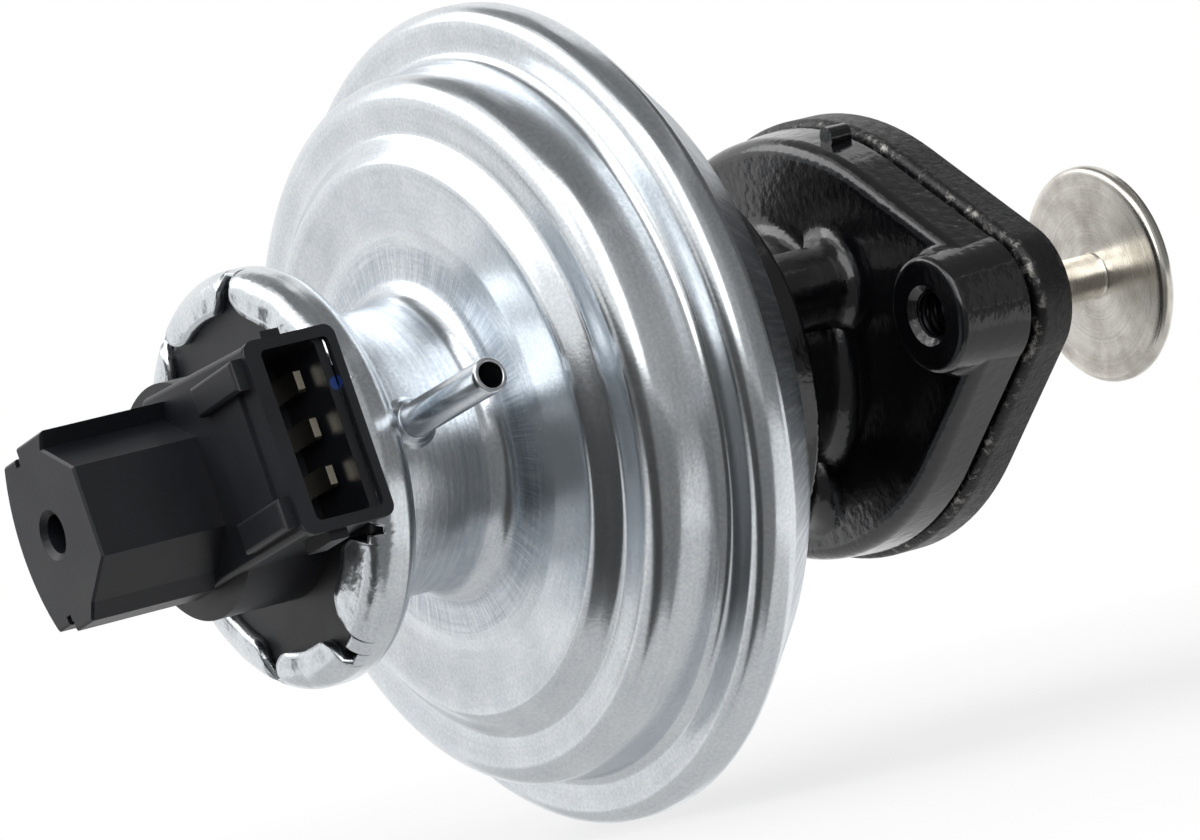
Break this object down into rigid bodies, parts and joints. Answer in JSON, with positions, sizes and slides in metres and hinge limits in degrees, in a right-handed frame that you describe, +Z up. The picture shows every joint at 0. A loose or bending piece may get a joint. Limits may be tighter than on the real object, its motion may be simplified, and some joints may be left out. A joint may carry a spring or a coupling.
{
  "type": "vacuum egr valve with position sensor",
  "caption": "Exhaust gas recirculation valve: diamond flange, poppet stem, round vacuum can with side nipple and a stem position sensor with a plug socket.",
  "frame": {"origin": "centre of the mounting flange's face, on the stem axis", "axes": "+X along the stem, out of the mounting face towards the valve plate; the flange's two ears lie along Y; +Z up; the connector and the nipple point to -Y"},
  "size_m": [0.1352, 0.087, 0.087],
  "materials": {
    "zinc_sheet": "deep drawn steel sheet, bright zinc plated",
    "zinc_tube": "drawn steel tube, bright zinc plated",
    "braze": "furnace braze fillet under the zinc plating",
    "black_casting": "iron casting, stoved black coating",
    "black_painted_steel": "stamped steel plate, gloss black paint",
    "graphite_gasket": "graphite fibre sheet",
    "stainless": "stainless steel, ground and polished",
    "sintered_bronze": "sintered bronze, oil filled",
    "graphite_seal": "moulded carbon ring",
    "phenolic": "phenolic heat insulating sheet",
    "zinc_screw": "cold headed steel, zinc plated",
    "diaphragm_rubber": "fabric reinforced rubber, moulded",
    "rubber_seal": "nitrile rubber, moulded",
    "plated_pressing": "pressed steel, zinc plated",
    "spring_steel": "drawn spring wire, phosphated",
    "black_plastic": "glass filled nylon, moulded",
    "natural_plastic": "acetal, moulded",
    "track_laminate": "glass epoxy laminate with carbon tracks",
    "plated_contact": "stamped brass blade, silver plated"
  },
  "bodies": {
    "housing": {"base_plate": "black_painted_steel", "base_gasket": "graphite_gasket", "valve_body": "black_casting", "guide_bush": "sintered_bronze", "stem_seal": "graphite_seal", "spacer": "phenolic", "rear_cover": "plated_pressing", "front_cover": "zinc_sheet", "vacuum_nipple": "zinc_tube", "nipple_braze": "braze", "diaphragm": "diaphragm_rubber", "return_spring": "spring_steel", "sensor_housing": "black_plastic", "sensor_seal": "rubber_seal", "sensor_guide": "natural_plastic", "sensor_spring": "spring_steel", "track_board": "track_laminate", "cover_screw_1": "zinc_screw", "cover_screw_2": "zinc_screw", "cover_screw_3": "zinc_screw", "terminal_1": "plated_contact", "terminal_2": "plated_contact", "terminal_3": "plated_contact"},
    "lift_group": {"stem": "stainless", "stem_nut": "zinc_screw", "valve_plate": "stainless", "diaphragm_plate": "plated_pressing", "diaphragm_washer": "plated_pressing"},
    "sensor_slide_group": {"sensor_plunger": "stainless", "wiper_carrier": "natural_plastic", "wiper_contact_1": "plated_contact", "wiper_contact_2": "plated_contact"}
  },
  "joints": [
    {"name": "valve_lift", "type": "slide", "parent": "housing", "child": "lift_group", "axis": [-1, 0, 0], "range_m": [0, 0.008], "stiffness_N_per_m": 940, "springref_m": -0.021, "deforming": ["return_spring", "diaphragm"]},
    {"name": "sensor_slide", "type": "slide", "parent": "housing", "child": "sensor_slide_group", "axis": [-1, 0, 0], "range_m": [0, 0.008], "stiffness_N_per_m": 450, "springref_m": -0.0045, "deforming": ["sensor_spring"]}
  ],
  "couplings": [
    {"joint": "sensor_slide", "follows": "valve_lift", "ratio": 1}
  ]
}
